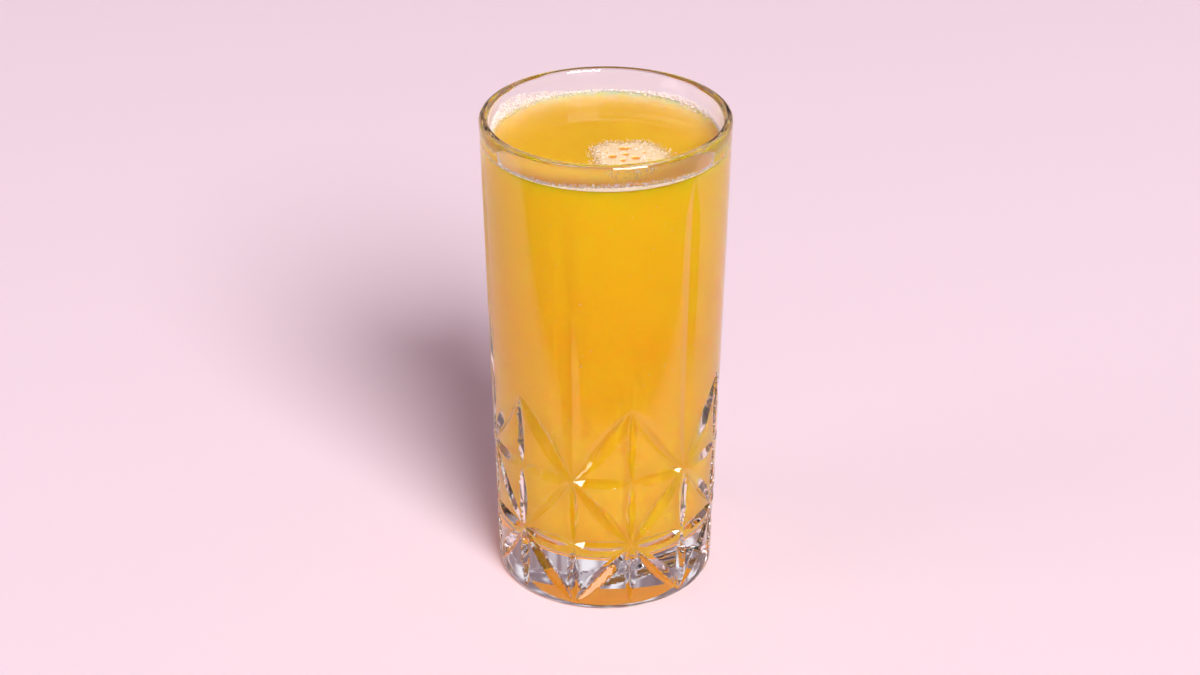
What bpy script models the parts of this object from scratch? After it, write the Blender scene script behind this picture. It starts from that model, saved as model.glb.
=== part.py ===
"""A cut glass tumbler filled with orange juice, with the foam that floats on the juice.

Metres, +Z up. The origin is the centre of the underside, and -Y is the front.
Angles of the cuts are measured from the front, positive towards +X.
"""
import math

import bmesh
import bpy
from mathutils import Vector

MM = 0.001

# Tumbler
HEIGHT = 145.0 * MM
RIM_RADIUS = 35.3 * MM
FOOT_RADIUS = 32.2 * MM
RIM_WALL = 2.7 * MM
LIP_RADIUS = RIM_WALL / 2
HEEL_RADIUS = 1.4 * MM
FLOOR_HEIGHT = 14.0 * MM
FLOOR_RADIUS = 27.0 * MM
FLOOR_CORNER = 6.0 * MM
TURN_STEPS = 72
CORNER_STEPS = 5

# Cut pattern: two star rows, and arches above them. Every cut runs from node to node.
SECTORS = 6
SECTOR_ANGLE = math.radians(360 / SECTORS)
FLUTE_COLUMN = math.radians(-16.8)
ARCH_COLUMN = FLUTE_COLUMN + SECTOR_ANGLE / 2
FLUTE_TOP = 135.5 * MM
ARCH_TOP = 68.7 * MM
UPPER_ROW = 44.6 * MM
LOWER_ROW = 23.0 * MM
CUT_FOOT = 2.2 * MM
TIP_MARGIN = 0.45 * MM
CUT_STATIONS = 7
CUT_RISE = 0.25 * MM
CROWN_RISE = 1.0 * MM

# Half width, depth and bluntness of each kind of cut
FLUTE_CUT = (3.2 * MM, 0.8 * MM, 6)
ARCH_CUT = (2.8 * MM, 1.75 * MM, 2)
SLANT_CUT = (2.1 * MM, 1.9 * MM, 2)
LEVEL_CUT = (1.75 * MM, 1.75 * MM, 3)
UPRIGHT_CUT = (1.75 * MM, 2.1 * MM, 2)
FLUTE_NARROWING = 0.2

# Juice and foam
GAP = 0.3 * MM
JUICE_LEVEL = 136.4 * MM
FOAM_RING_TUBE = 1.0 * MM
FOAM_RING_WIDTHS = (1.0 * MM, 1.9 * MM)
FOAM_RING_HEIGHTS = (1.2 * MM, 2.1 * MM)
FOAM_RING_STEPS = 60
FOAM_RING_SIDES = 8
FOAM_PATCH_CENTRE = (6.0 * MM, -10.0 * MM)
FOAM_PATCH_HALF = (11.2 * MM, 12.6 * MM)
FOAM_PATCH_THICKNESS = 1.0 * MM
FOAM_PATCH_SEGMENTS = 40
FOAM_PATCH_RINGS = 8

# Uneven outlines of the foam, as (waves all the way round, phase, share)
FOAM_RING_WAVES = ((3, 0.6, 0.3), (7, 2.1, 0.2))
FOAM_PATCH_LOBES = ((3, 0.4, 0.07), (5, 1.9, 0.05))


def outer_radius(z):
    """Radius of the tumbler's straight outer wall at height z."""
    return FOOT_RADIUS + (RIM_RADIUS - FOOT_RADIUS) * z / HEIGHT


def inner_radius(z):
    """Radius of the tumbler's inner wall at height z, which thins towards the rim."""
    rise = (z - FLOOR_HEIGHT) / (HEIGHT - FLOOR_HEIGHT)
    return FLOOR_RADIUS + (RIM_RADIUS - RIM_WALL - FLOOR_RADIUS) * rise


def arc(centre_r, centre_z, radius, start, end, steps):
    """Points of a circle arc in the turning plane, from start to end in degrees."""
    points = []
    for step in range(steps + 1):
        angle = math.radians(start + (end - start) * step / steps)
        points.append((centre_r + radius * math.cos(angle), centre_z + radius * math.sin(angle)))
    return points


def bowl_profile(inset=0.0):
    """The inside of the tumbler from the axis to the end of its floor corner."""
    floor = FLOOR_HEIGHT + inset
    corner = FLOOR_CORNER - inset
    corner_z = FLOOR_HEIGHT + FLOOR_CORNER
    centre_r = inner_radius(corner_z) - FLOOR_CORNER
    return [(0.0, floor)] + arc(centre_r, corner_z, corner, -90, 0, CORNER_STEPS)


def tumbler_profile():
    """Closed turning profile: up the inside, over the lip and down the outside."""
    lip_z = HEIGHT - LIP_RADIUS
    lip_r = RIM_RADIUS - LIP_RADIUS
    lip = arc(lip_r, lip_z, LIP_RADIUS, 180, 0, CORNER_STEPS + 1)
    heel_r = outer_radius(HEEL_RADIUS) - HEEL_RADIUS
    heel = arc(heel_r, HEEL_RADIUS, HEEL_RADIUS, 0, -90, 3)
    return bowl_profile() + lip + heel + [(0.0, 0.0)]


def juice_profile():
    """The juice fills the bowl up to its level, a hair clear of the glass."""
    top_r = inner_radius(JUICE_LEVEL) - GAP
    inside = bowl_profile(GAP)
    return [(0.0, JUICE_LEVEL), (top_r, JUICE_LEVEL)] + inside[::-1]


def new_collection(name):
    collection = bpy.data.collections.new(name)
    bpy.context.scene.collection.children.link(collection)
    return collection


def new_material(name, colour, roughness, alpha=1.0):
    material = bpy.data.materials.new(name)
    material.use_nodes = True
    shader = material.node_tree.nodes["Principled BSDF"]
    shader.inputs["Base Color"].default_value = (*colour, 1.0)
    shader.inputs["Roughness"].default_value = roughness
    shader.inputs["Metallic"].default_value = 0.0
    shader.inputs["Alpha"].default_value = alpha
    return material


def mesh_object(name, mesh, collection, material=None):
    piece = bpy.data.objects.new(name, mesh)
    collection.objects.link(piece)
    if material:
        mesh.materials.append(material)
        mesh.shade_smooth()
        mesh.set_sharp_from_angle(angle=math.radians(30))
    return piece


def turned(name, profile, collection, material):
    """An object turned from a profile in the XZ plane about the Z axis."""
    mesh = bpy.data.meshes.new(name)
    edges = [(i, i + 1) for i in range(len(profile) - 1)]
    mesh.from_pydata([(r, 0.0, z) for r, z in profile], edges, [])
    piece = mesh_object(name, mesh, collection, material)
    screw = piece.modifiers.new("turn", "SCREW")
    screw.axis = "Z"
    screw.steps = TURN_STEPS
    screw.render_steps = TURN_STEPS
    screw.use_merge_vertices = True
    screw.merge_threshold = 0.00001
    screw.use_smooth_shade = True
    return piece


def on_wall(angle, z, height):
    """A point above (or, with a negative height, below) the outer wall."""
    radius = outer_radius(z) + height
    return Vector((radius * math.sin(angle), -radius * math.cos(angle), z))


def leaf_cutter(start, end, size, narrowing, collection):
    """A pointed V-groove cutter, wrapped on the wall between two pattern nodes.

    start and end are (angle, z). The groove is deepest in the middle and runs out at
    its tips, and size is its half width, depth and bluntness. It is narrower at its start
    than at its end by the share in narrowing. The cutter itself goes on above the
    wall to its own pointed ends, and its roof is a ridge, which clears the wall's curve.
    """
    half_width, depth, bluntness = size
    mean_radius = outer_radius((start[1] + end[1]) / 2)
    run = Vector(((end[0] - start[0]) * mean_radius, end[1] - start[1]))
    length = run.length
    along = run / length
    across = Vector((-along.y, along.x))
    half_length = length / 2 - TIP_MARGIN
    reach = (1 + CUT_RISE / depth) ** (1 / bluntness)
    middle_angle = (start[0] + end[0]) / 2
    middle_z = (start[1] + end[1]) / 2

    def wall_point(distance, side, height):
        offset = along * distance + across * side
        return on_wall(middle_angle + offset.x / mean_radius, middle_z + offset.y, height)

    bm = bmesh.new()
    sections = []
    for station in range(CUT_STATIONS + 1):
        u = reach * math.sin(math.pi * (station / CUT_STATIONS - 0.5))
        local_depth = depth * (1 - abs(u) ** bluntness)
        distance = u * half_length
        if station in (0, CUT_STATIONS):
            sections.append([bm.verts.new(wall_point(distance, 0.0, CUT_RISE))])
            continue
        full_width = half_width * (1 - narrowing * (1 - u) / 2)
        side = full_width * (local_depth + CUT_RISE) / depth
        valley = bm.verts.new(wall_point(distance, 0.0, -local_depth))
        left = bm.verts.new(wall_point(distance, side, CUT_RISE))
        crown = bm.verts.new(wall_point(distance, 0.0, CROWN_RISE))
        right = bm.verts.new(wall_point(distance, -side, CUT_RISE))
        sections.append([valley, left, crown, right])
    for near, far in zip(sections, sections[1:]):
        for side in range(4):
            following = (side + 1) % 4
            corners = [near[side % len(near)], near[following % len(near)],
                       far[following % len(far)], far[side % len(far)]]
            bm.faces.new(dict.fromkeys(corners))
    bmesh.ops.recalc_face_normals(bm, faces=bm.faces)
    mesh = bpy.data.meshes.new("cut")
    bm.to_mesh(mesh)
    bm.free()
    cutter = mesh_object("cut", mesh, collection)
    cutter.hide_render = True
    cutter.display_type = "WIRE"
    return cutter


def sector_cuts(flute, arch):
    """The leaf cuts of one sector, as (start, end, size)."""
    half = SECTOR_ANGLE / 2
    cuts = [
        ((flute, LOWER_ROW), (flute, UPPER_ROW), UPRIGHT_CUT),
        ((flute, CUT_FOOT), (flute, LOWER_ROW), UPRIGHT_CUT),
        ((arch, UPPER_ROW), (arch, ARCH_TOP), UPRIGHT_CUT),
        ((arch, LOWER_ROW), (arch, UPPER_ROW), UPRIGHT_CUT),
        ((arch, CUT_FOOT), (arch, LOWER_ROW), UPRIGHT_CUT),
    ]
    for side in (-half, half):
        cuts += [
            ((flute, UPPER_ROW), (flute + side, ARCH_TOP), ARCH_CUT),
            ((flute, UPPER_ROW), (flute + side, UPPER_ROW), LEVEL_CUT),
            ((flute, UPPER_ROW), (flute + side, LOWER_ROW), SLANT_CUT),
            ((arch, LOWER_ROW), (arch + side, LOWER_ROW), LEVEL_CUT),
            ((arch, LOWER_ROW), (arch + side, CUT_FOOT), SLANT_CUT),
        ]
    return cuts


def build_tumbler(parts, cutters):
    material = new_material("clear_glass", (0.93, 0.95, 0.96), 0.02, 0.35)
    tumbler = turned("glass", tumbler_profile(), parts, material)
    for sector in range(SECTORS):
        flute = FLUTE_COLUMN + sector * SECTOR_ANGLE
        arch = ARCH_COLUMN + sector * SECTOR_ANGLE
        leaf_cutter((flute, UPPER_ROW), (flute, FLUTE_TOP), FLUTE_CUT, FLUTE_NARROWING, cutters)
        for start, end, size in sector_cuts(flute, arch):
            leaf_cutter(start, end, size, 0.0, cutters)
    cut = tumbler.modifiers.new("cut_pattern", "BOOLEAN")
    cut.operation = "DIFFERENCE"
    cut.operand_type = "COLLECTION"
    cut.collection = cutters
    cut.solver = "EXACT"


def build_juice(parts):
    material = new_material("orange_juice", (0.87, 0.48, 0.03), 0.25)
    turned("juice", juice_profile(), parts, material)


def unevenness(angle, waves):
    """Sum of a few sine waves round the middle."""
    return sum(share * math.sin(count * angle + phase) for count, phase, share in waves)


def build_foam_ring(parts, material):
    """Foam along the wall: a torus pressed flat on the juice, uneven in width and height."""
    outer = inner_radius(JUICE_LEVEL) - GAP
    bpy.ops.mesh.primitive_torus_add(major_radius=outer, minor_radius=FOAM_RING_TUBE,
                                     major_segments=FOAM_RING_STEPS,
                                     minor_segments=FOAM_RING_SIDES)
    ring = bpy.context.object
    ring.name = "foam_ring"
    for collection in list(ring.users_collection):
        collection.objects.unlink(ring)
    parts.objects.link(ring)
    for vertex in ring.data.vertices:
        x, y, z = vertex.co
        angle = math.atan2(x, -y)
        wave = 0.5 + unevenness(angle, FOAM_RING_WAVES)
        width = FOAM_RING_WIDTHS[0] + wave * (FOAM_RING_WIDTHS[1] - FOAM_RING_WIDTHS[0])
        height = FOAM_RING_HEIGHTS[0] + wave * (FOAM_RING_HEIGHTS[1] - FOAM_RING_HEIGHTS[0])
        inward = (outer + FOAM_RING_TUBE - math.hypot(x, y)) / (2 * FOAM_RING_TUBE)
        upward = (z + FOAM_RING_TUBE) / (2 * FOAM_RING_TUBE)
        radius = outer - width * inward
        vertex.co = (radius * math.sin(angle), -radius * math.cos(angle),
                     JUICE_LEVEL + GAP + height * upward)
    ring.data.materials.append(material)
    ring.data.shade_smooth()


def build_foam_patch(parts, material):
    """The island of fine foam: a flattened sphere with a flat underside and a lobed outline."""
    mesh = bpy.data.meshes.new("foam_patch")
    bm = bmesh.new()
    bmesh.ops.create_uvsphere(bm, u_segments=FOAM_PATCH_SEGMENTS, v_segments=FOAM_PATCH_RINGS,
                              radius=1.0)
    half_x, half_y = FOAM_PATCH_HALF
    for vertex in bm.verts:
        x, y, z = vertex.co
        angle = math.atan2(y, x)
        lobes = 1 + unevenness(angle, FOAM_PATCH_LOBES)
        crown = 0.5 + 0.5 * z
        vertex.co = (half_x * x * lobes, half_y * y * lobes, FOAM_PATCH_THICKNESS * crown)
    bm.to_mesh(mesh)
    bm.free()
    patch = mesh_object("foam_patch", mesh, parts, material)
    patch.location = (*FOAM_PATCH_CENTRE, JUICE_LEVEL + GAP)


def main():
    for old in list(bpy.data.objects):
        bpy.data.objects.remove(old)
    parts = new_collection("glass_of_orange_juice")
    cutters = new_collection("cutters")
    foam = new_material("foam", (0.93, 0.66, 0.36), 0.6)
    build_tumbler(parts, cutters)
    build_juice(parts)
    build_foam_ring(parts, foam)
    build_foam_patch(parts, foam)


main()
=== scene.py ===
# %% [markdown]
# # A cut glass tumbler of orange juice
# The construction model already gives four solids in real metres: the tumbler, the juice,
# the foam along the wall and the island of foam. This lesson gives them the look of
# the real thing. Each solid is replaced by a finer surface of the same form, because
# glass shows every facet that it has, and juice and foam need bubbles and soft edges.

# %% Load the fixed model
import math

import bpy
import numpy as np
from mathutils import Matrix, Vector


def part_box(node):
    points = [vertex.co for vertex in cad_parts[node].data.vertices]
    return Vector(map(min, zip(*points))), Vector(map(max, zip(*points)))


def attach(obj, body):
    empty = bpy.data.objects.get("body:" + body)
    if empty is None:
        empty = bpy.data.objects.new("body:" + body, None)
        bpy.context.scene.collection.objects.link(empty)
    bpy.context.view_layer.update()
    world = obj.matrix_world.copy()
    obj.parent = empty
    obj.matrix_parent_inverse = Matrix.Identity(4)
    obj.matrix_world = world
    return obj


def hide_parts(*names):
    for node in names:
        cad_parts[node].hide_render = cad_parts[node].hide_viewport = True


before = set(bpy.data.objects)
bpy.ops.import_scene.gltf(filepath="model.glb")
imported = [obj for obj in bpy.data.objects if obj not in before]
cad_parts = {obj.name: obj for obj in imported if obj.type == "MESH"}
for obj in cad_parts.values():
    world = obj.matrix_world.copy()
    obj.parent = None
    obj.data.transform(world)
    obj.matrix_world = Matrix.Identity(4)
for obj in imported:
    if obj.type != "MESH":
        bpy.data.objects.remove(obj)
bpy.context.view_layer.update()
MM = 0.001
print("nodes", sorted(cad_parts))

# %% [markdown]
# ## Sizes
# The tumbler's outline is read from the model, so that the finer glass can't drift away from
# the solid that it stands for. The wall and floor of the glass can't be seen from a
# box, so they are given again here as real sizes.

# %% Sizes of the tumbler
glass_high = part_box("glass")[1]
juice_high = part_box("juice")[1]
patch_low, patch_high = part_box("foam_patch")
HEIGHT = glass_high.z
RIM_RADIUS = glass_high.x
FOOT_RADIUS = 32.2 * MM
RIM_WALL = 2.7 * MM
LIP_RADIUS = RIM_WALL / 2
HEEL_RADIUS = 1.4 * MM
FLOOR_HEIGHT = 14.0 * MM
FLOOR_RADIUS = 27.0 * MM
FLOOR_CORNER = 6.0 * MM
JUICE_LEVEL = juice_high.z


def outer_radius(z):
    """Outer wall: a straight line from the foot's radius to the rim's."""
    return FOOT_RADIUS + (RIM_RADIUS - FOOT_RADIUS) * z / HEIGHT


def inner_radius(z):
    """Inner wall: a straight line that leaves a wall of 2.7 mm where the lip begins."""
    rise = (z - FLOOR_HEIGHT) / (HEIGHT - LIP_RADIUS - FLOOR_HEIGHT)
    return FLOOR_RADIUS + (RIM_RADIUS - RIM_WALL - FLOOR_RADIUS) * rise


print("tumbler", round(HEIGHT / MM, 1), "mm tall, rim radius", round(RIM_RADIUS / MM, 1), "mm")

# %% [markdown]
# ## Helpers
# Three small tools are used all the way through. One turns an sRGB hex colour into the linear
# values that Blender computes with. One adds a shader node with its settings and
# links. One puts a grid of points that was worked out with numpy into a mesh, and
# it measures the volume, which is positive only when the faces point outwards.


# %% Colour and node helpers
def linear(hex_colour):
    """sRGB hex to linear RGB: a power of 2.4 above the straight part near black."""
    channels = np.array([int(hex_colour[i:i + 2], 16) for i in (1, 3, 5)]) / 255
    low = channels / 12.92
    high = ((channels + 0.055) / 1.055) ** 2.4
    return tuple(np.where(channels <= 0.04045, low, high))


def rgba(hex_colour):
    """Linear colour with an alpha of 1, as a colour socket takes it."""
    return (*linear(hex_colour), 1.0)


def node(tree, kind, sockets=None, stops=(), **settings):
    """Adds a node. A socket, by name or number, gets a value or another node's output.

    Stops are the (position, hex colour) pairs of a ramp.
    """
    made = tree.nodes.new(kind)
    for index, (position, hex_colour) in enumerate(stops):
        if index == len(made.color_ramp.elements):
            made.color_ramp.elements.new(1.0)
        made.color_ramp.elements[index].position = position
        made.color_ramp.elements[index].color = rgba(hex_colour)
    for name, value in settings.items():
        setattr(made, name, value)
    for name, value in (sockets or {}).items():
        if isinstance(value, bpy.types.NodeSocket):
            tree.links.new(value, made.inputs[name])
        else:
            made.inputs[name].default_value = value
    return made


def new_material(name):
    """A new material with an empty node tree, and that tree."""
    material = bpy.data.materials.new(name)
    material.use_nodes = True
    material.node_tree.nodes.clear()
    return material, material.node_tree


# %% Mesh helpers
def ring_grid(radius, height, angles):
    """Points at each angle from the front (-Y), positive towards +X, for every grid row."""
    radius, height, angles = np.broadcast_arrays(radius, height, angles)
    return np.stack([radius * np.sin(angles), -radius * np.cos(angles), height], axis=-1)


def enclosed_volume(vertices, triangles):
    """Sum of the signed tetrahedra between the origin and each triangle."""
    a, b, c = (vertices[triangles[:, i]] for i in range(3))
    return float(np.einsum("ij,ij->i", a, np.cross(b, c)).sum() / 6)


def point_values(mesh, name, values):
    """Keeps one number per point in the mesh, for its material to read."""
    mesh.attributes.new(name, "FLOAT", "POINT").data.foreach_set("value", values)


def turned_faces(points):
    """Vertices, triangles at the first pole, quads, and triangles at the last pole.

    Columns wrap, and the end rows are poles. Seen from above the columns go anticlockwise, and
    the skin faces up at the first pole and down at the last, which turns the faces outwards.
    """
    count = points.shape[1]
    vertices = np.vstack([points[0, :1], points[1:-1].reshape(-1, 3), points[-1, :1]])
    index = 1 + np.arange(len(vertices) - 2).reshape(-1, count)
    beside = np.roll(index, -1, axis=1)
    quads = np.stack([index[:-1], index[1:], beside[1:], beside[:-1]], axis=-1).reshape(-1, 4)
    first_pole = np.zeros(count, int)
    last_pole = np.full(count, len(vertices) - 1)
    first = np.stack([first_pole, index[0], beside[0]], axis=-1)
    last = np.stack([index[-1], last_pole, beside[-1]], axis=-1)
    return vertices, first, quads, last


def turned_mesh(name, points):
    """Closed skin over points[row, column], as turned_faces joins them."""
    vertices, first, quads, last = turned_faces(points)
    mesh = bpy.data.meshes.new(name)
    mesh.from_pydata(vertices.tolist(), [], first.tolist() + quads.tolist() + last.tolist())
    triangles = np.vstack([first, last, quads[:, :3], quads[:, [0, 2, 3]]])
    volume = enclosed_volume(vertices, triangles)
    print(name, len(triangles), "triangles,", round(volume * 1e6, 2), "cubic centimetres")
    return mesh


def add_piece(name, mesh, materials, slot, *replaced):
    """Puts a mesh in the scene as a piece that rides on the one body, root.

    It gets its finishes and may stand for solids of the model. The slot is not used.
    """
    mesh.shade_smooth()
    for material in materials:
        mesh.materials.append(material)
    piece = bpy.data.objects.new(name, mesh)
    bpy.context.scene.collection.objects.link(piece)
    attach(piece, "root")
    if replaced:
        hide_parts(*replaced)
    print("piece", name, "with", len(materials), "finishes" if len(materials) > 1 else "finish")


# %% [markdown]
# ## Camera
# The photograph was taken with a short telephoto lens, about 0.7 m away and looking down by 29
# degrees. The values come from fitting the rim's ellipse, the curve of the base and
# both side outlines, so the picture can be laid over the photograph.

# %% Camera
CAMERA_PITCH = math.radians(28.96)
CAMERA_DISTANCE = 687.2 * MM
CAMERA_TARGET = (-1.6 * MM, 0.0, 74.1 * MM)
CAMERA_LENS = 70.7

camera_data = bpy.data.cameras.new("camera")
camera_data.lens = CAMERA_LENS
camera_data.sensor_width = 36.0
camera_data.clip_start = 0.01
camera = bpy.data.objects.new("camera", camera_data)
camera.location = (CAMERA_TARGET[0],
                   -CAMERA_DISTANCE * math.cos(CAMERA_PITCH),
                   CAMERA_TARGET[2] + CAMERA_DISTANCE * math.sin(CAMERA_PITCH))
camera.rotation_euler = (math.pi / 2 - CAMERA_PITCH, 0.0, 0.0)
bpy.context.scene.collection.objects.link(camera)
bpy.context.scene.camera = camera
bpy.context.scene.view_settings.view_transform = "Standard"
print("camera", [round(value / MM) for value in camera.location], "mm")

# %% [markdown]
# ## Floor and light
# The glass stands on plain pale pink paper under one large softbox, in front on the right and
# fairly high. The length and width of the cast shadow give its place and size. A low
# white reflector on the left evens out the juice, and the rest of the room only sends
# back weak pink light, which is what fills the shadow. Its pale windows and dark corners are
# soft patches under a dim ceiling, which show up as the glitter in the cuts of the base.


# %% Paper material
# Paper fibres make bumps about a millimetre apart and a fifth of one high
PAPER_TOOTH_SCALE = 900.0
PAPER_TOOTH_DEPTH = 0.2 * MM


def paper_material(name, fade=None, glow=0.0):
    """Matt pink card: a rough diffuse sheet whose faint tooth is about 1 mm across.

    A point value named by fade can thin it out. Under the glass it glows with the light that
    falls through the juice.
    """
    material, tree = new_material(name)
    place = node(tree, "ShaderNodeTexCoord")
    tooth = node(tree, "ShaderNodeTexNoise", {"Vector": place.outputs["Object"],
                                              "Scale": PAPER_TOOTH_SCALE, "Detail": 3.0})
    bump = node(tree, "ShaderNodeBump", {"Height": tooth.outputs["Fac"],
                                         "Strength": 0.06, "Distance": PAPER_TOOTH_DEPTH})
    shown = 1.0
    if fade:
        shown = node(tree, "ShaderNodeAttribute", attribute_name=fade).outputs["Fac"]
    shader = node(tree, "ShaderNodeBsdfPrincipled", {"Base Color": rgba("#ebd9e7"),
                                                     "Roughness": 0.85,
                                                     "Normal": bump.outputs["Normal"],
                                                     "Alpha": shown,
                                                     "Emission Color": rgba("#ffb070"),
                                                     "Emission Strength": glow})
    node(tree, "ShaderNodeOutputMaterial", {"Surface": shader.outputs["BSDF"]})
    return material


# %% Floor
FLOOR_HALF = 6.0
FLOOR_DROP = 0.1 * MM

square = FLOOR_HALF * np.array([[-1, -1], [1, -1], [1, 1], [-1, 1]])
floor_mesh = bpy.data.meshes.new("floor")
corners = np.column_stack([square, np.full(len(square), -FLOOR_DROP)])
floor_mesh.from_pydata(corners.tolist(), [], [(0, 1, 2, 3)])
floor_mesh.materials.append(paper_material("matt_pink_card"))
floor = bpy.data.objects.new("floor", floor_mesh)
bpy.context.scene.collection.objects.link(floor)
floor.visible_glossy = False
print("floor", 2 * FLOOR_HALF, "m wide")

# %% [markdown]
# Light that falls through the juice colours the paper under the glass. A path tracer seldom
# finds that light, so a disc of the same paper, just under the foot, has a weak orange glow.

# %% Lit paper under the glass
LIT_PAPER_DROP = 0.05 * MM
LIT_PAPER_RADIUS = 31.5 * MM
LIT_PAPER_GLOW = 0.12

bpy.ops.mesh.primitive_circle_add(vertices=96, radius=LIT_PAPER_RADIUS, fill_type="NGON")
lit_paper = bpy.context.object
lit_paper.name = "lit_paper"
lit_paper.data.transform(Matrix.Translation((0.0, 0.0, -LIT_PAPER_DROP)))
lit_paper.data.materials.append(paper_material("card_in_orange_light", glow=LIT_PAPER_GLOW))
print("lit paper", round(LIT_PAPER_RADIUS / MM, 1), "mm in radius")

# %% [markdown]
# The pale paper ends a hand's breadth in front of the glass, out of the picture, and the glass
# mirrors its edge. So the endless floor is hidden from mirrors, and a second sheet that
# only mirrors see has the paper's real front edge, which curves and fades.

# %% Paper edge that the glass mirrors
# The edge's place and curve, and the sheet's half width and back edge, in metres
EDGE_TIP = -0.144
EDGE_SKEW = 0.055
EDGE_SLOPE = 0.345
EDGE_CURVE = 0.055
EDGE_FADE = 0.030
PAPER_REACH = 1.2
PAPER_BACK = 2.0
EDGE_POINTS = 61
MIRRORED_DROP = 0.07 * MM


def mirrored_sheet():
    """Front edge: tip + skew x + slope sqrt(x^2 + curve^2). Behind it the sheet fades in.

    The points are the cubes of even steps, so they lie closest together in the middle.
    """
    x = PAPER_REACH * np.linspace(-1, 1, EDGE_POINTS) ** 3
    front = EDGE_TIP + EDGE_SKEW * x + EDGE_SLOPE * np.sqrt(x ** 2 + EDGE_CURVE ** 2)
    rows = np.stack([front - EDGE_FADE / 2, front + EDGE_FADE / 2, np.full(len(x), PAPER_BACK)])
    points = np.stack([np.broadcast_to(x, rows.shape), rows, np.full(rows.shape, -MIRRORED_DROP)],
                      axis=-1)
    index = np.arange(rows.size).reshape(rows.shape)
    quads = np.stack([index[:-1, :-1], index[:-1, 1:], index[1:, 1:], index[1:, :-1]], axis=-1)
    mesh = bpy.data.meshes.new("mirrored_paper")
    mesh.from_pydata(points.reshape(-1, 3).tolist(), [], quads.reshape(-1, 4).tolist())
    point_values(mesh, "fade", np.repeat([0.0, 1.0, 1.0], len(x)))
    return mesh


mirrored_mesh = mirrored_sheet()
mirrored_mesh.materials.append(paper_material("matt_pink_card_edge", "fade"))
mirrored_paper = bpy.data.objects.new("mirrored_paper", mirrored_mesh)
bpy.context.scene.collection.objects.link(mirrored_paper)
mirrored_paper.visible_camera = False
mirrored_paper.visible_diffuse = False
mirrored_paper.visible_transmission = False
mirrored_paper.visible_shadow = False
print("mirrored paper", 2 * PAPER_REACH, "m wide")


# %% Lights
def softbox(name, azimuth, elevation, distance, width, height, power, colour):
    """An area light aimed at the middle of the glass. Azimuth 0 is the front, + is right."""
    data = bpy.data.lights.new(name, "AREA")
    data.shape = "ELLIPSE"
    data.size = width
    data.size_y = height
    data.energy = power
    data.color = linear(colour)
    light = bpy.data.objects.new(name, data)
    turn = math.radians(azimuth)
    lift = math.radians(elevation)
    light.location = (distance * math.cos(lift) * math.sin(turn),
                      -distance * math.cos(lift) * math.cos(turn),
                      HEIGHT / 2 + distance * math.sin(lift))
    light.rotation_euler = (math.pi / 2 - lift, 0.0, turn)
    bpy.context.scene.collection.objects.link(light)
    print(name, power, "W,", distance, "m away")


softbox("key_softbox", azimuth=24, elevation=40, distance=6.0, width=3.0, height=3.0,
        power=475, colour="#fffdf8")
softbox("left_reflector", azimuth=-72, elevation=7, distance=3.0, width=1.6, height=1.2,
        power=32, colour="#fff4f2")

# %% Room
# Scale of the room's patches, height of the soft line between ground and walls, and the
# heights between which the ceiling sets in, all for a direction of length 1
ROOM_PATCH_SCALE = 6.0
WALL_FOOT = 0.02
CEILING_FADE = (0.65, 0.8)

world = bpy.data.worlds.new("soft_room")
bpy.context.scene.world = world
world.use_nodes = True
room_tree = world.node_tree
room_tree.nodes.clear()
direction = node(room_tree, "ShaderNodeTexCoord").outputs["Generated"]
upward = node(room_tree, "ShaderNodeSeparateXYZ", {"Vector": direction}).outputs["Z"]
patches = node(room_tree, "ShaderNodeTexNoise", {"Vector": direction,
                                                 "Scale": ROOM_PATCH_SCALE, "Detail": 2.0})
walls = node(room_tree, "ShaderNodeValToRGB", {"Fac": patches.outputs["Fac"]},
             stops=[(0.3, "#6a585e"), (0.5, "#94808a"), (0.66, "#f2eef6")])
above = node(room_tree, "ShaderNodeMapRange", {"Value": upward, "From Max": WALL_FOOT})
overhead = node(room_tree, "ShaderNodeMapRange", {"Value": upward, "From Min": CEILING_FADE[0],
                                                  "From Max": CEILING_FADE[1]})
with_ceiling = node(room_tree, "ShaderNodeMix", {0: overhead.outputs["Result"],
                                                 6: walls.outputs["Color"],
                                                 7: rgba("#7a5552")}, data_type="RGBA")
with_ground = node(room_tree, "ShaderNodeMix", {0: above.outputs["Result"],
                                                6: rgba("#787273"),
                                                7: with_ceiling.outputs[2]}, data_type="RGBA")
room = node(room_tree, "ShaderNodeBackground", {"Color": with_ground.outputs[2],
                                                "Strength": 1.0})
node(room_tree, "ShaderNodeOutputWorld", {"Surface": room.outputs["Background"]})
print("room", len(room_tree.nodes), "nodes")

# %% [markdown]
# ## The cut pattern
# A glass cutter's wheel leaves a pointed V groove: nothing at its tips, deepest and widest in
# the middle. On this pressed copy of cut glass the same leaf runs between the points
# of a net: two rows of stars, arches above them and one tall flute over every
# second star. So the pattern is a list of leaves, and one formula gives the depth of
# each. Booleans would leave hard slivers here, so the depth is taken off the wall's radius.

# %% Net of the cuts
SECTOR = math.radians(60)
FLUTE_COLUMN = math.radians(-16.8)
ARCH_COLUMN = FLUTE_COLUMN + SECTOR / 2
FLUTE_TOP = 135.5 * MM
ARCH_TOP = 68.7 * MM
UPPER_ROW = 44.6 * MM
LOWER_ROW = 23.0 * MM
CUT_FOOT = 1.9 * MM
FLUTE_NARROWING = 0.2
VALLEY_ROUNDING = 0.06 * MM
EDGE_ROUNDING = 0.02 * MM

# Half width, depth and bluntness of each kind of cut
FLUTE_CUT = (3.2 * MM, 0.8 * MM, 6)
ARCH_CUT = (2.8 * MM, 1.75 * MM, 2)
SLANT_CUT = (2.1 * MM, 1.9 * MM, 2)
LEVEL_CUT = (1.75 * MM, 1.75 * MM, 3)
UPRIGHT_CUT = (1.75 * MM, 2.1 * MM, 2)

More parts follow.
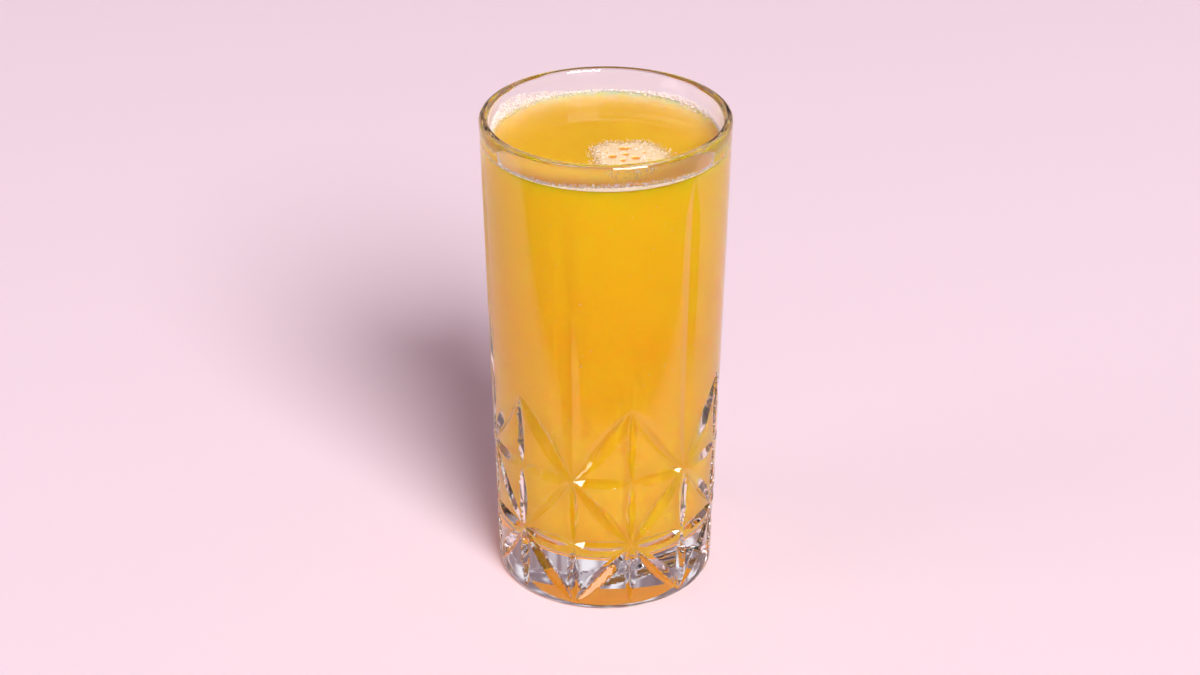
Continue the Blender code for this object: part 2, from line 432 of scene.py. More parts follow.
# Slope of a level cut's ramps, power of the mean that joins them to its flat middle, and how
# far past its tips a cut is followed, in half lengths
RAMP_SLOPE = 0.5
RAMP_POWER = 5
PAST_TIP = 1.2


def sector_leaves():
    """The 16 leaves of one sixth of the wall, as (start, end, size, narrowing)."""
    flute, arch, half = FLUTE_COLUMN, ARCH_COLUMN, SECTOR / 2
    leaves = [((flute, LOWER_ROW), (flute, UPPER_ROW), UPRIGHT_CUT),
              ((flute, CUT_FOOT), (flute, LOWER_ROW), UPRIGHT_CUT),
              ((arch, UPPER_ROW), (arch, ARCH_TOP), UPRIGHT_CUT),
              ((arch, LOWER_ROW), (arch, UPPER_ROW), UPRIGHT_CUT),
              ((arch, CUT_FOOT), (arch, LOWER_ROW), UPRIGHT_CUT)]
    for side in (-half, half):
        leaves += [((flute, UPPER_ROW), (flute + side, ARCH_TOP), ARCH_CUT),
                   ((flute, UPPER_ROW), (flute + side, UPPER_ROW), LEVEL_CUT),
                   ((flute, UPPER_ROW), (flute + side, LOWER_ROW), SLANT_CUT),
                   ((arch, LOWER_ROW), (arch + side, LOWER_ROW), LEVEL_CUT),
                   ((arch, LOWER_ROW), (arch + side, CUT_FOOT), SLANT_CUT)]
    shaped = [(start, end, size, 0.0) for start, end, size in leaves]
    shaped.append(((flute, UPPER_ROW), (flute, FLUTE_TOP), FLUTE_CUT, FLUTE_NARROWING))
    return shaped


def leaf_depth(angles, z, start, end, size, narrowing):
    """Depth of one leaf, and of its five turned copies, at every angle and height.

    Along the leaf, u runs from -1 to 1. The depth on its line is full x (1 - |u|^bluntness),
    and across the leaf it falls off in straight flanks, a little rounded in the valley. A level
    leaf has straight ramps at its tips instead, joined to a flat middle by a power mean. The
    narrowing takes that share off the width towards the leaf's start.
    """
    half_width, full, bluntness = size
    mean_radius = outer_radius((start[1] + end[1]) / 2)
    run = np.array([(end[0] - start[0]) * mean_radius, end[1] - start[1]])
    length = np.hypot(*run)
    away = angles - (start[0] + end[0]) / 2
    wrapped = (away + SECTOR / 2) % SECTOR - SECTOR / 2
    across_x = wrapped * mean_radius
    up = z - (start[1] + end[1]) / 2
    u = (across_x * run[0] + up * run[1]) / length / (length / 2)
    t = (up * run[0] - across_x * run[1]) / length
    local_width = half_width * (1 - narrowing * (1 - u) / 2)
    rounded = np.sqrt(t ** 2 + VALLEY_ROUNDING ** 2)
    on_line = full * (1 - np.minimum(np.abs(u), PAST_TIP) ** bluntness)
    if size is LEVEL_CUT:
        ramp = RAMP_SLOPE * (1 - np.abs(u)) * length / 2
        inside = np.maximum(ramp, 1e-9)
        joined = (inside ** -RAMP_POWER + full ** -RAMP_POWER) ** (-1 / RAMP_POWER)
        on_line = np.where(ramp > 0, joined, ramp)
    return on_line - full * rounded / local_width


def pattern_depth(angles, z):
    """The deepest leaf at each point, with its edge eased where it leaves the wall."""
    deepest = np.full(np.broadcast(angles, z).shape, -1.0)
    for leaf in sector_leaves():
        deepest = np.maximum(deepest, leaf_depth(angles, z, *leaf))
    return (deepest + np.sqrt(deepest ** 2 + EDGE_ROUNDING ** 2)) / 2


print(6 * len(sector_leaves()), "leaves")

# %% [markdown]
# ## The tumbler
# The glass is one closed skin: from the middle of its floor, up the inner wall, over the
# fire-polished lip, down the cut outer wall and under the foot. The rows lie closest
# together where the cuts are, because a refracting surface needs about three points
# across every edge.


# %% Skin of the tumbler
def arc(centre_r, centre_z, radius, start, end, steps):
    """Circle arc in the turning plane, from start to end in degrees."""
    angle = np.radians(np.linspace(start, end, steps + 1))
    return np.stack([centre_r + radius * np.cos(angle), centre_z + radius * np.sin(angle)], axis=1)


BOWL_FLOOR_ROWS = 4
BOWL_CORNER_STEPS = 6


def bowl_rows(outwards=0.0):
    """The bowl's floor and corner, from the axis to the foot of the inner wall."""
    corner_z = FLOOR_HEIGHT + FLOOR_CORNER
    centre_r = inner_radius(corner_z) - FLOOR_CORNER
    floor_r = np.linspace(0, centre_r, BOWL_FLOOR_ROWS, endpoint=False)
    floor_rows = np.stack([floor_r, np.full(BOWL_FLOOR_ROWS, FLOOR_HEIGHT - outwards)], axis=1)
    corner = arc(centre_r, corner_z, FLOOR_CORNER + outwards, -90, 0, BOWL_CORNER_STEPS)
    return np.vstack([floor_rows, corner])


TUMBLER_COLUMNS = 540
COARSE_STEP = 0.6 * MM
FINE_STEP = 0.25 * MM
FINE_REACH = 2.0 * MM
FINE_STEPS = round(FINE_REACH / FINE_STEP)


def column_angles(columns):
    """Angles all the way round, with one column in the valley of each upright cut."""
    return FLUTE_COLUMN + np.arange(columns) * 2 * math.pi / columns


def pattern_rows():
    """Heights 0.6 mm apart, but 0.25 mm near both level rows, whose valleys each get a row."""
    rows = []
    low = HEEL_RADIUS + COARSE_STEP
    for level, high in ((LOWER_ROW, UPPER_ROW - FINE_REACH), (UPPER_ROW, ARCH_TOP + COARSE_STEP)):
        count = round((level - FINE_REACH - low) / COARSE_STEP)
        rows.append(np.linspace(low, level - FINE_REACH, count, endpoint=False))
        rows.append(level + np.arange(-FINE_STEPS, FINE_STEPS + 1) * FINE_STEP)
        low = level + FINE_REACH + COARSE_STEP
    count = round((high - low) / COARSE_STEP)
    rows.append(np.linspace(low, high, count))
    return np.concatenate(rows)[::-1]


LIP_STEPS = 9
HEEL_STEPS = 5
UNDERSIDE_SHARES = np.array([0.7, 0.3, 0.0])

# Heights in mm of the rows on the plain wall, over the flutes' tips and down their length
PLAIN_ROWS = (142.0, 138.5)
FLUTE_TIP_ROWS = np.linspace(136.2, 128, 7)
FLUTE_ROWS = np.linspace(120, 72, 6)


def tumbler_points(columns):
    """Rows of the bowl, the lip, the cut wall, the heel and the underside, in this order."""
    lip = arc(RIM_RADIUS - LIP_RADIUS, HEIGHT - LIP_RADIUS, LIP_RADIUS, 180, 0, LIP_STEPS)
    heel_r = outer_radius(HEEL_RADIUS) - HEEL_RADIUS
    heel = arc(heel_r, HEEL_RADIUS, HEEL_RADIUS, 0, -90, HEEL_STEPS)
    upper_z = np.concatenate([PLAIN_ROWS, FLUTE_TIP_ROWS, FLUTE_ROWS]) * MM
    wall_z = np.concatenate([upper_z, pattern_rows()])
    under_r = heel[-1, 0] * UNDERSIDE_SHARES
    under = np.stack([under_r, np.zeros(len(under_r))], axis=1)
    before = np.vstack([bowl_rows(), lip])
    after = np.vstack([heel, under])
    angles = column_angles(columns)
    cut_wall = outer_radius(wall_z)[:, None] - pattern_depth(angles[None, :], wall_z[:, None])
    return np.vstack([ring_grid(before[:, :1], before[:, 1:], angles),
                      ring_grid(cut_wall, wall_z[:, None], angles),
                      ring_grid(after[:, :1], after[:, 1:], angles)])


tumbler_mesh = turned_mesh("tumbler", tumbler_points(TUMBLER_COLUMNS))

# %% [markdown]
# The tumbler is clear soda-lime glass, pressed and then fire polished, so its skin is as smooth
# as a liquid. All of its look comes from bending and mirroring its surroundings. Its skin is
# shaded smoothly, but for the edges of the cuts, which stay sharp where they turn by more
# than 15 degrees.


# %% Glass material
GLASS_IOR = 1.52
CREASE = math.radians(15)


def glass_material():
    """Clear soda-lime glass: index 1.52 and no roughness to speak of."""
    material, tree = new_material("clear_soda_lime_glass")
    shader = node(tree, "ShaderNodeBsdfPrincipled", {"Base Color": rgba("#fdfefe"),
                                                     "Roughness": 0.0,
                                                     "IOR": GLASS_IOR,
                                                     "Transmission Weight": 1.0})
    node(tree, "ShaderNodeOutputMaterial", {"Surface": shader.outputs["BSDF"]})
    return material


add_piece("tumbler", tumbler_mesh, [glass_material()], "glass", "glass")
tumbler_mesh.set_sharp_from_angle(angle=CREASE)

# %% [markdown]
# ## The juice
# Orange juice is water full of fine pulp. Light goes a few millimetres in and comes back golden,
# so it needs subsurface scattering. Its sides touch the glass and can't shine by
# themselves, and only its open surface is glossy. Its underside is lit through the
# thick base, which gathers light as a lens does, and that light is painted on as a weak glow
# in a redder colour. So the skin has three finishes. It reaches a twentieth of a millimetre
# into the wall, so that no film of air shows.

# %% Skin of the juice
WALL_OVERLAP = 0.05 * MM
JUICE_COLUMNS = 270

# The meniscus as pairs of rise and reach, and its height in front as a share of that behind
MENISCUS = ((1.4 * MM, 2.7 * MM), (0.5 * MM, 0.35 * MM))
MENISCUS_IN_FRONT = 0.3

# Rows of the open surface, as shares of the radius in from the wall, closest at the meniscus
SURFACE_ROWS = np.concatenate([np.linspace(1, 0.3, 12), np.geomspace(0.28, 0.001, 34), [0.0]])
JUICE_WALL_ROWS = np.linspace(136.2, 21.5, 26)


def surface_height(radius, angles):
    """Level plus a meniscus: two terms that fall off as exp(-distance from the wall / reach).

    It goes from 0.3 of its height in front to its full height at the back as a cosine.
    """
    gap = np.maximum(inner_radius(JUICE_LEVEL) - radius, 0)
    share = (1 + MENISCUS_IN_FRONT) / 2 - (1 - MENISCUS_IN_FRONT) / 2 * np.cos(angles)
    return JUICE_LEVEL + share * sum(rise * np.exp(-gap / reach) for rise, reach in MENISCUS)


def juice_points():
    """Rows of the open surface, then of the wall, then of the underside."""
    angles = column_angles(JUICE_COLUMNS)
    edge_z = surface_height(inner_radius(JUICE_LEVEL), angles)
    surface_r = (1 - SURFACE_ROWS[:, None]) * (inner_radius(edge_z) + WALL_OVERLAP)
    surface = ring_grid(surface_r, surface_height(surface_r, angles), angles)
    wall_z = JUICE_WALL_ROWS[:, None] * MM
    wall = ring_grid(inner_radius(wall_z) + WALL_OVERLAP, wall_z, angles)
    bowl = bowl_rows(WALL_OVERLAP)[::-1]
    underside = ring_grid(bowl[:, :1], bowl[:, 1:], angles)
    return np.vstack([surface, wall, underside]), len(surface), len(wall)


juice_grid, surface_rows, wall_rows = juice_points()
juice_mesh = turned_mesh("orange_juice", juice_grid)


# %% Juice material
JUICE_IOR = 1.34
JUICE_GLOSS = 0.01
JUICE_MATT = 0.6

# Clouds of pulp are about 11 mm across, and patches of scum about 3 mm
CLOUD_SCALE = 90.0
SCUM_SCALE = 300.0
SCUM_LIFT = 0.45

# Red light spreads 9 mm in the juice, green half of that, and blue hardly at all
SCATTER_REACH = 9 * MM
SCATTER_SHARES = (1.0, 0.5, 0.07)

# Mirrored shares of the lower and the upper wall, and the heights between which the share and
# the painted light near the top, a yellower colour, change
MIRRORED_SHARES = (0.9, 0.3)
MIRRORED_FADE = (72 * MM, 90 * MM)
SUNLIT_FADE = (90 * MM, 134 * MM)


def juice_material(name, dark, light, glossy=False, behind_glass=False, glow=0.0):
    """Cloudy orange juice, glossy and with pale scum only where it is open to the air.

    Behind glass, light that meets it at more than 62 degrees is mirrored, because the glass is
    denser. A Fresnel node with the ratio of both indices tells where, and pulp on the upper
    wall leaves only a share of it. Near its top the juice is painted yellower, as painted light
    where light falls in.
    """
    material, tree = new_material(name)
    place = node(tree, "ShaderNodeTexCoord")
    cloud = node(tree, "ShaderNodeTexNoise", {"Vector": place.outputs["Object"],
                                              "Scale": CLOUD_SCALE, "Detail": 4.0})
    colour = node(tree, "ShaderNodeValToRGB", {"Fac": cloud.outputs["Fac"]},
                  stops=[(0.3, dark), (0.7, light)]).outputs["Color"]
    if glossy:
        scum = node(tree, "ShaderNodeAttribute", attribute_name="scum")
        patches = node(tree, "ShaderNodeTexNoise", {"Vector": place.outputs["Object"],
                                                    "Scale": SCUM_SCALE, "Detail": 3.0})
        uneven = node(tree, "ShaderNodeMath", {0: patches.outputs["Fac"], 1: SCUM_LIFT},
                      operation="ADD")
        share = node(tree, "ShaderNodeMath", {0: uneven.outputs[0], 1: scum.outputs["Fac"]},
                     operation="MULTIPLY")
        # Painted light: near the front wall the open surface is painted a brighter juice colour
        thin = node(tree, "ShaderNodeAttribute", attribute_name="thin")
        colour = node(tree, "ShaderNodeMix", {0: thin.outputs["Fac"], 6: colour, 7: rgba("#fdcb45")},
                      data_type="RGBA").outputs[2]
        colour = node(tree, "ShaderNodeMix", {0: share.outputs[0], 6: colour, 7: rgba("#ecd5c0")},
                      data_type="RGBA").outputs[2]
    roughness = JUICE_GLOSS if glossy else JUICE_MATT
    mirrored = 0.0
    if behind_glass:
        axes = node(tree, "ShaderNodeSeparateXYZ", {"Vector": place.outputs["Object"]})
        height = axes.outputs["Z"]
        # Painted light: the juice is painted yellower near its top, where light falls in
        sunlit = node(tree, "ShaderNodeMapRange", {"Value": height, "From Min": SUNLIT_FADE[0],
                                                   "From Max": SUNLIT_FADE[1]})
        colour = node(tree, "ShaderNodeMix", {0: sunlit.outputs["Result"], 6: colour,
                                              7: rgba("#ffd010")}, data_type="RGBA").outputs[2]
        share = node(tree, "ShaderNodeMapRange", {"Value": height, "From Min": MIRRORED_FADE[0],
                                                  "From Max": MIRRORED_FADE[1],
                                                  "To Min": MIRRORED_SHARES[0],
                                                  "To Max": MIRRORED_SHARES[1]})
        grazing = node(tree, "ShaderNodeFresnel", {"IOR": JUICE_IOR / GLASS_IOR})
        mirrored = node(tree, "ShaderNodeMath", {0: grazing.outputs["Fac"],
                                                 1: share.outputs["Result"]},
                        operation="MULTIPLY").outputs[0]
        colour = node(tree, "ShaderNodeMix", {0: mirrored, 6: colour, 7: rgba("#ffffff")},
                      data_type="RGBA").outputs[2]
        roughness = node(tree, "ShaderNodeMath", {0: mirrored, 1: -JUICE_MATT, 2: JUICE_MATT},
                         operation="MULTIPLY_ADD", use_clamp=True).outputs[0]
    shader = node(tree, "ShaderNodeBsdfPrincipled", {
        "Base Color": colour,
        "Roughness": roughness,
        "Metallic": mirrored,
        "IOR": JUICE_IOR,
        "Specular IOR Level": 0.35 if glossy else 0.0,
        "Subsurface Weight": 1.0,
        "Subsurface Radius": SCATTER_SHARES,
        "Subsurface Scale": SCATTER_REACH,
        "Emission Color": rgba("#f0a02a"),
        "Emission Strength": glow})
    node(tree, "ShaderNodeOutputMaterial", {"Surface": shader.outputs["BSDF"]})
    return material


# %% Juice in the glass
# The underside's painted glow, light that the base gathers, starts a few rows below
# the wall, on the bowl's corner
GLOW_FROM_ROW = 3
UNDERSIDE_PAINTED_GLOW = 0.36

juice_finishes = [
    juice_material("orange_juice_in_glass", "#fcbd10", "#fec514", behind_glass=True),
    # The open surface is a darker copy of the juice colour: painted shade that offsets the stronger
    # light on top
    juice_material("orange_juice_open_surface", "#e2af18", "#e8b71e", glossy=True),
    juice_material("orange_juice_underside", "#f2a82a", "#f4b030", glow=UNDERSIDE_PAINTED_GLOW)]
add_piece("orange_juice", juice_mesh, juice_finishes, "juice", "juice")
finish_of_ring = np.full(len(juice_grid) - 1, 2, np.int32)
finish_of_ring[:surface_rows + wall_rows + GLOW_FROM_ROW] = 0
finish_of_ring[:surface_rows - 1] = 1
juice_mesh.polygons.foreach_set("material_index", np.repeat(finish_of_ring, JUICE_COLUMNS))


# %% Scum and painted front light on the open surface
SCUM_REACH = 4.2 * MM
SCUM_BESIDE = 0.2
SCUM_GROWTH = 17.0
PAINTED_FRONT_LIGHT_START = 12 * MM
PAINTED_FRONT_LIGHT_FADE = 12 * MM
PAINTED_FRONT_LIGHT_MOST = 0.8


def grid_values(values):
    """One value per point of a turned mesh, whose first and last rows are poles."""
    return np.concatenate([values[0, :1], values[1:-1].ravel(), values[-1, :1]])


def scum_on(grid):
    """Pale foam scum: exp(-distance from the wall / reach) x a share that grows with y.

    The share is 0.2 beside the axis, nothing in front of it and 0.7 at the back.
    """
    gap = inner_radius(JUICE_LEVEL) - np.hypot(grid[..., 0], grid[..., 1])
    share = np.clip(SCUM_BESIDE + SCUM_GROWTH * grid[..., 1], 0, 1)
    return np.exp(-np.maximum(gap, 0) / SCUM_REACH) * share


def painted_front_light_on(grid):
    """Share of painted light near the front wall, where the open surface is painted brighter.

    It is nothing up to 12 mm in front of the axis, and rises evenly to 0.8 at 24 mm.
    """
    return np.clip((-grid[..., 1] - PAINTED_FRONT_LIGHT_START) / PAINTED_FRONT_LIGHT_FADE, 0, 1) * PAINTED_FRONT_LIGHT_MOST


point_values(juice_mesh, "scum", grid_values(scum_on(juice_grid)))
point_values(juice_mesh, "thin", grid_values(painted_front_light_on(juice_grid)))
print("juice surface", surface_rows, "rows, wall", wall_rows, "rows")

# %% [markdown]
# ## Foam
# Foam is a crowd of bubbles. Seen from near, the coarse ones are round and the fine ones are
# a pale lace of cells with thin walls. So the fine foam is a thin skin whose material draws
# the cells, and it fades where they get sparse. The coarse bubbles are real little
# balls of a few dozen faces, and a whole crowd of them is one mesh.

# %% Foam helpers
rng = np.random.default_rng(7)


def looped_mesh(name, points):
    """Closed skin over points[row, column] whose rows and columns both wrap.

    The rows go up on the outside and down on the inside, which turns the faces outwards.
    """
    rows, count = points.shape[:2]
    index = np.arange(rows * count).reshape(rows, count)
    next_row = np.roll(index, -1, axis=0)
    beside = np.roll(index, -1, axis=1)
    quads = np.stack([index, beside, np.roll(next_row, -1, axis=1), next_row], axis=-1).reshape(-1, 4)
    mesh = bpy.data.meshes.new(name)
    mesh.from_pydata(points.reshape(-1, 3).tolist(), [], quads.tolist())
    triangles = np.vstack([quads[:, :3], quads[:, [0, 2, 3]]])
    volume = enclosed_volume(points.reshape(-1, 3), triangles)
    print(name, len(triangles), "triangles,", round(volume * 1e6, 3), "cubic centimetres")
    return mesh


def waves(angles, counts, seed):
    """Uneven line round the glass: the mean of sines with random phases, within -1 to 1."""
    phases = np.random.default_rng(seed).uniform(0, 2 * math.pi, len(counts))
    lines = [np.sin(count * angles + phase) for count, phase in zip(counts, phases)]
    return sum(lines) / len(counts)


def hill(angles, middle, width):
    """1 at its middle, falling off as exp(-(distance / width)^2), all in radians."""
    return np.exp(-((angles - middle) / width) ** 2)


# %% Foam material
# Denser and thinner patches about 2.4 mm across, the relief of a cell, and how far behind the
# axis the foam turns into a clear film
FOAM_PATCH_SCALE = 420.0
FOAM_RELIEF = 0.2 * MM
FILM_BEHIND = 18 * MM


def lace_material(name, cells_per_metre, tint, pale):
    """Fine juice foam: pale walls round tiny cells.

    The real cells are mostly too fine to show, so they are drawn about 0.6 mm across. Its cover
    fades to nothing at the edges. Behind, where it is a thin film on clear glass, the pink paper
    shows through it, and in a window the juice does.
    """
    material, tree = new_material(name)
    place = node(tree, "ShaderNodeTexCoord")
    across = node(tree, "ShaderNodeSeparateXYZ", {"Vector": place.outputs["Object"]})
    behind = node(tree, "ShaderNodeMapRange", {"Value": across.outputs["Y"],
                                               "From Max": FILM_BEHIND})
    cells = node(tree, "ShaderNodeTexVoronoi", {"Vector": place.outputs["Object"],
                                                "Scale": cells_per_metre, "Randomness": 1.0})
    patches = node(tree, "ShaderNodeTexNoise", {"Vector": place.outputs["Object"],
                                                "Scale": FOAM_PATCH_SCALE, "Detail": 3.0})
    cover = node(tree, "ShaderNodeAttribute", attribute_name="cover")
    window = node(tree, "ShaderNodeAttribute", attribute_name="window")
    shade = node(tree, "ShaderNodeValToRGB", {"Fac": cells.outputs["Distance"]},
                 stops=[(0.12, tint), (0.42, pale)])
    shade = node(tree, "ShaderNodeMix", {0: behind.outputs["Result"], 6: shade.outputs["Color"],
                                         7: rgba("#f7e4e0")}, data_type="RGBA")
    seen = node(tree, "ShaderNodeMix", {0: window.outputs["Fac"], 6: shade.outputs[2],
                                        7: rgba("#e39a22")}, data_type="RGBA")
    thick = node(tree, "ShaderNodeMath", {0: cover.outputs["Fac"], 1: 2.0}, operation="MULTIPLY")
    walls = node(tree, "ShaderNodeMath", {0: cells.outputs["Distance"], 1: patches.outputs["Fac"]},
                 operation="ADD")
    lacy = node(tree, "ShaderNodeMath", {0: walls.outputs[0], 1: 1.0}, operation="SUBTRACT")
    alpha = node(tree, "ShaderNodeMath", {0: thick.outputs[0], 1: lacy.outputs[0]},
                 operation="ADD", use_clamp=True)
    bump = node(tree, "ShaderNodeBump", {"Height": cells.outputs["Distance"],
                                         "Strength": 0.4, "Distance": FOAM_RELIEF})
    shader = node(tree, "ShaderNodeBsdfPrincipled", {"Base Color": seen.outputs[2],
                                                     "Roughness": 0.3,
                                                     "IOR": JUICE_IOR,
                                                     "Alpha": alpha.outputs[0],
                                                     "Normal": bump.outputs["Normal"]})
    node(tree, "ShaderNodeOutputMaterial", {"Surface": shader.outputs["BSDF"]})
    return material


# %% [markdown]
# Along the wall the foam is a thin, uneven line. It climbs the glass as a film at the back on the
# left and on the right, and the film gets thinner upwards.

# %% Foam line along the wall
LINE_COLUMNS = 480
LINE_SECTION = 12


def film_height(angles):
    """Height above the level, in hills on a low line, uneven by a quarter of a millimetre.

    About 0.5 mm, 2 mm in front, and behind it 4.5 mm on the left and 2.7 mm on the right.
    """
    front = hill(angles, 0.15, 0.75)
    left = hill(angles, -math.radians(122), math.radians(34))
    right = hill(angles, math.radians(135), math.radians(34))
    uneven = 0.28 * waves(angles, (5, 9, 14, 23, 37), 3)
    return (0.45 + 1.5 * front + 4.0 * left + 2.2 * right + uneven) * MM


def film_cover(angles):
    """How solid the foam is: 0.85 at the front, and hardly a veil at the back."""
    front = hill(angles, 0.0, 1.1)
    left = hill(angles, -math.radians(115), math.radians(40))
    return 0.02 + 0.83 * front + 0.10 * left + 0.10 * waves(angles, (4, 7, 13, 29), 5)


def foam_line():
    """A closed ring: up the wall from the juice's edge, and down again on a lower inner foot."""
    angles = -math.pi + np.arange(LINE_COLUMNS) * 2 * math.pi / LINE_COLUMNS
    share = np.linspace(0, 1, LINE_SECTION // 2)[:, None]
    edge = surface_height(inner_radius(JUICE_LEVEL), angles)
    top = np.maximum(JUICE_LEVEL + film_height(angles), edge + 0.5 * MM)
    width = (0.9 + 0.3 * waves(angles, (6, 11, 19, 31), 9)) * MM
    foot = surface_height(inner_radius(JUICE_LEVEL) - width, angles) - 0.15 * MM
    outer_z = edge - 0.1 * MM + (top - edge + 0.1 * MM) * share
    inner_z = foot + (top - foot) * share[::-1]
    inwards = 0.06 * MM + width * (1 - share[::-1]) ** 1.5
    outer = ring_grid(inner_radius(outer_z) + WALL_OVERLAP, outer_z, angles)
    inner = ring_grid(inner_radius(inner_z) - inwards, inner_z, angles)
    fading = film_cover(angles) * (1 - np.vstack([share, share[::-1]]) ** 2)
    return np.vstack([outer, inner]), fading


line_grid, line_cover = foam_line()
line_mesh = looped_mesh("foam_line", line_grid)
point_values(line_mesh, "cover", line_cover.ravel())
point_values(line_mesh, "window", np.zeros(line_cover.size))

# Cells per metre
LINE_CELLS = 1500.0
line_foam = lace_material("fine_juice_foam", LINE_CELLS, "#fbe0b4", "#fff2dc")
add_piece("foam_line", line_mesh, [line_foam], "foam", "foam_ring")


# %% Crowds of bubbles
def ball(segments=6, rings=4):
    """Points and the 36 triangles of a small closed ball: rings at even angles from its top."""
    fall = np.linspace(0, math.pi, rings + 1)[:, None]
    grid = ring_grid(np.sin(fall), np.cos(fall), np.arange(segments) * 2 * math.pi / segments)
    vertices, first, quads, last = turned_faces(grid)
    return vertices, np.vstack([first, quads[:, :3], quads[:, [0, 2, 3]], last])


def crowd_mesh(name, centres, radii):
    """One mesh of a whole crowd: the ball's points, scaled and moved to every centre."""
    points, triangles = ball()
    vertices = centres[:, None, :] + points[None] * radii[:, None, None]
    offsets = np.arange(len(centres))[:, None, None] * len(points)
    faces = (triangles[None] + offsets).reshape(-1, 3)
    mesh = bpy.data.meshes.new(name)
    mesh.from_pydata(vertices.reshape(-1, 3).tolist(), [], faces.tolist())
    volume = enclosed_volume(vertices.reshape(-1, 3), faces)
    print(name, len(faces), "triangles,", round(volume * 1e9, 2), "cubic millimetres")
    return mesh


# The tint changes over about 1.4 mm, so from bubble to bubble
BUBBLE_TINT_SCALE = 700.0


def bubble_material():
    """Single bubbles: partly clear wet skins whose near white colour is a painted reflection of the
    lamp.
    """
    material, tree = new_material("clear_juice_bubbles")
    place = node(tree, "ShaderNodeTexCoord")
    tint = node(tree, "ShaderNodeTexNoise", {"Vector": place.outputs["Object"],
                                             "Scale": BUBBLE_TINT_SCALE})
    shade = node(tree, "ShaderNodeValToRGB", {"Fac": tint.outputs["Fac"]},
                 stops=[(0.35, "#fbe9e0"), (0.6, "#fff8f8")])
    shader = node(tree, "ShaderNodeBsdfPrincipled", {"Base Color": shade.outputs["Color"],
                                                     "Roughness": 0.08,
                                                     "IOR": JUICE_IOR,
                                                     "Alpha": 0.75})
    node(tree, "ShaderNodeOutputMaterial", {"Surface": shader.outputs["BSDF"]})
    return material


# %% Bubbles on the wall
WALL_BUBBLES = 3400
FULL_FILM = 4.2 * MM
bubbles = bubble_material()


def wall_bubbles():
    """Bubbles thrown on the film, small and sparse towards its top, with a few just above it.

    A place is kept with a chance of the film's height there over 4.2 mm.
    """
    angles = rng.uniform(-math.pi, math.pi, WALL_BUBBLES * 3)
    keep = rng.random(len(angles)) * FULL_FILM < film_height(angles)
    angles = angles[keep][:WALL_BUBBLES]
    count = len(angles)
    share = rng.random(count) ** 1.3
    foot = surface_height(inner_radius(JUICE_LEVEL), angles)
    top = JUICE_LEVEL + 1.15 * film_height(angles) + 0.5 * MM
    z = foot + np.maximum(top - foot, 0.4 * MM) * share
    radii = (0.10 + 0.24 * rng.random(count) ** 2.5) * (1 - 0.3 * share) * MM
    centres = ring_grid(inner_radius(z) - 0.85 * radii, z, angles)
    return centres, radii


add_piece("wall_bubbles", crowd_mesh("wall_bubbles", *wall_bubbles()), [bubbles], "foam")

# %% [markdown]
# The island near the front is a low mound of very fine foam, with a few big clear bubbles that
# show the juice below. Its edge thins out into single bubbles.

# %% Foam island
patch_centre = (patch_low + patch_high) / 2
patch_half = (patch_high - patch_low) / 2
ISLAND_ROWS = 80
ISLAND_COLUMNS = 300
ISLAND_SPREAD = 1.1
ISLAND_RISE = 0.55 * MM
ISLAND_SOLE = 0.12 * MM
WINDOW_DIP = 0.75

# Big clear bubbles, as x, y and radius in mm from the middle of the glass
WINDOWS = [(4.6, -5.3, 0.85), (6.0, -5.4, 0.8), (5.5, -9.3, 0.75), (1.9, -10.6, 0.9),
           (8.2, -11.6, 0.9), (4.6, -13.2, 0.7), (10.6, -8.0, 0.4), (0.4, -7.6, 0.4),
           (7.4, -15.6, 0.5), (2.4, -16.2, 0.45), (11.8, -12.8, 0.4), (9.0, -18.4, 0.5)]


def island_edge(angles):
    """The lobed outline, as a share of the half size."""
    smooth = 0.07 * np.sin(3 * angles + 0.4) + 0.05 * np.sin(5 * angles + 1.9)
    return 1 + smooth + 0.05 * waves(angles, (9, 14, 22, 35), 11)


def island_place(share, angles):
    """Where a share of the way from the middle to the lobed outline lies, as x and y."""
    reach = share * island_edge(angles) * ISLAND_SPREAD
    x = patch_centre.x + patch_half.x * reach * np.cos(angles)
    y = patch_centre.y + patch_half.y * reach * np.sin(angles)
    return x, y


def mound(share):
    """Height of the foam above the level: rise x (1 - share^3)."""
    return ISLAND_RISE * (1 - share ** 3)


def island_points():
    """Polar grid: the mound from its middle to the edge, then a flat underside.

    The cover falls from 1 at 0.4 of the way out to nothing at 0.9, and also from 17 to 23 mm
    in front of the axis. A window is 1 up to 1.1 times its bubble's radius, and nothing from 1.5.
    """
    angles = np.arange(ISLAND_COLUMNS) * 2 * math.pi / ISLAND_COLUMNS
    share = np.linspace(0, 1, ISLAND_ROWS)[:, None]
    x, y = island_place(share, angles)
    window = np.zeros(x.shape)
    for wx, wy, size in WINDOWS:
        away = np.hypot(x / MM - wx, y / MM - wy) / (1.3 * size)
        window = np.maximum(window, np.clip((1.15 - away) / 0.3, 0, 1))
    cover = np.minimum((0.9 - share) / 0.5, 1) * np.clip((y / MM + 23.0) / 6.0, 0, 1)
    z = JUICE_LEVEL + mound(share) * (1 - WINDOW_DIP * window)
    top = np.stack([x, y, z], axis=-1)
    under = top[[-1, ISLAND_ROWS // 2, 0]].copy()
    under[..., 2] = JUICE_LEVEL - ISLAND_SOLE
    cover = np.vstack([cover, cover[-1:], cover[-1:], cover[-1:]])
    window = np.vstack([window, np.zeros((3, ISLAND_COLUMNS))])
    return np.vstack([top, under]), cover, window


island_grid, island_cover, island_window = island_points()
island_mesh = turned_mesh("foam_island", island_grid)
point_values(island_mesh, "cover", grid_values(island_cover))
point_values(island_mesh, "window", grid_values(island_window))

# Cells per metre, a little finer than on the wall
ISLAND_CELLS = 1800.0
island_foam = lace_material("fine_island_foam", ISLAND_CELLS, "#eab060", "#f6ddb2")
add_piece("foam_island", island_mesh, [island_foam], "foam", "foam_patch")

# %% Bubbles on the island
ISLAND_BUBBLES = 700


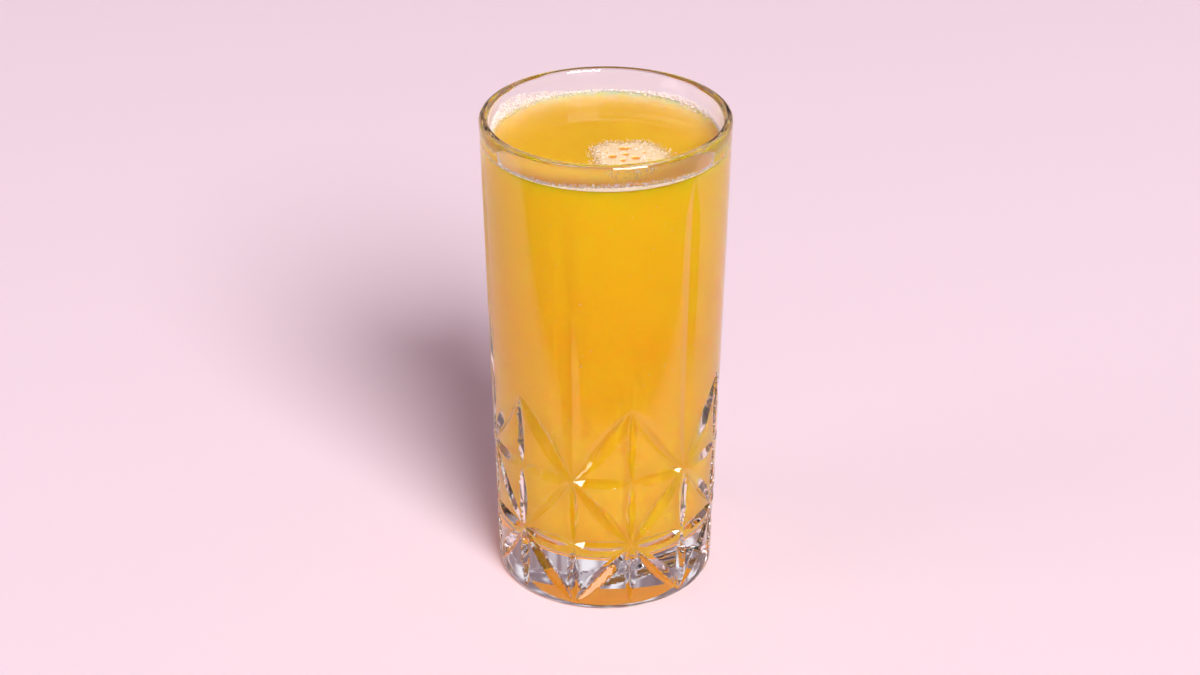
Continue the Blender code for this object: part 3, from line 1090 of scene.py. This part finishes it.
def island_bubbles():
    """Single bubbles on the mound, more of them where it thins out."""
    angles = rng.uniform(-math.pi, math.pi, ISLAND_BUBBLES)
    share = rng.random(ISLAND_BUBBLES) ** 0.45
    x, y = island_place(share, angles)
    radii = (0.08 + 0.2 * rng.random(ISLAND_BUBBLES) ** 3) * (1.15 - 0.5 * share) * MM
    z = JUICE_LEVEL + mound(share) + 0.2 * radii
    clear = y > -20.5 * MM
    for wx, wy, size in WINDOWS:
        clear &= np.hypot(x - wx * MM, y - wy * MM) > size * MM
    return np.stack([x, y, z], axis=1)[clear], radii[clear]


add_piece("island_bubbles", crowd_mesh("island_bubbles", *island_bubbles()), [bubbles], "foam")

# %% [markdown]
# ## Pulp
# A few pale flecks of pulp cling to the wall. They are small balls half sunk in the juice, so
# they show as faint specks through the glass.

# %% Pulp on the wall
# The flecks' tint changes over about 17 mm, so from fleck to fleck
PULP_FLECKS = 320
PULP_TINT_SCALE = 60.0


def pulp_material():
    """Orange pulp: soft, pale and matt."""
    material, tree = new_material("pale_orange_pulp")
    place = node(tree, "ShaderNodeTexCoord")
    tint = node(tree, "ShaderNodeTexNoise", {"Vector": place.outputs["Object"],
                                             "Scale": PULP_TINT_SCALE})
    shade = node(tree, "ShaderNodeValToRGB", {"Fac": tint.outputs["Fac"]},
                 stops=[(0.4, "#fdc860"), (0.6, "#ffe2a6")])
    shader = node(tree, "ShaderNodeBsdfPrincipled", {"Base Color": shade.outputs["Color"],
                                                     "Roughness": 0.5})
    node(tree, "ShaderNodeOutputMaterial", {"Surface": shader.outputs["BSDF"]})
    return material


def pulp_flecks():
    """Flecks thrown evenly over the wall, half sunk in the juice's skin."""
    throw = np.random.default_rng(21)
    angles = throw.uniform(-math.pi, math.pi, PULP_FLECKS)
    z = throw.uniform(24 * MM, JUICE_LEVEL - 3 * MM, PULP_FLECKS)
    radii = (0.11 + 0.13 * throw.random(PULP_FLECKS) ** 2) * MM
    return ring_grid(inner_radius(z) + WALL_OVERLAP, z, angles), radii


add_piece("pulp_flecks", crowd_mesh("pulp_flecks", *pulp_flecks()), [pulp_material()], "juice")
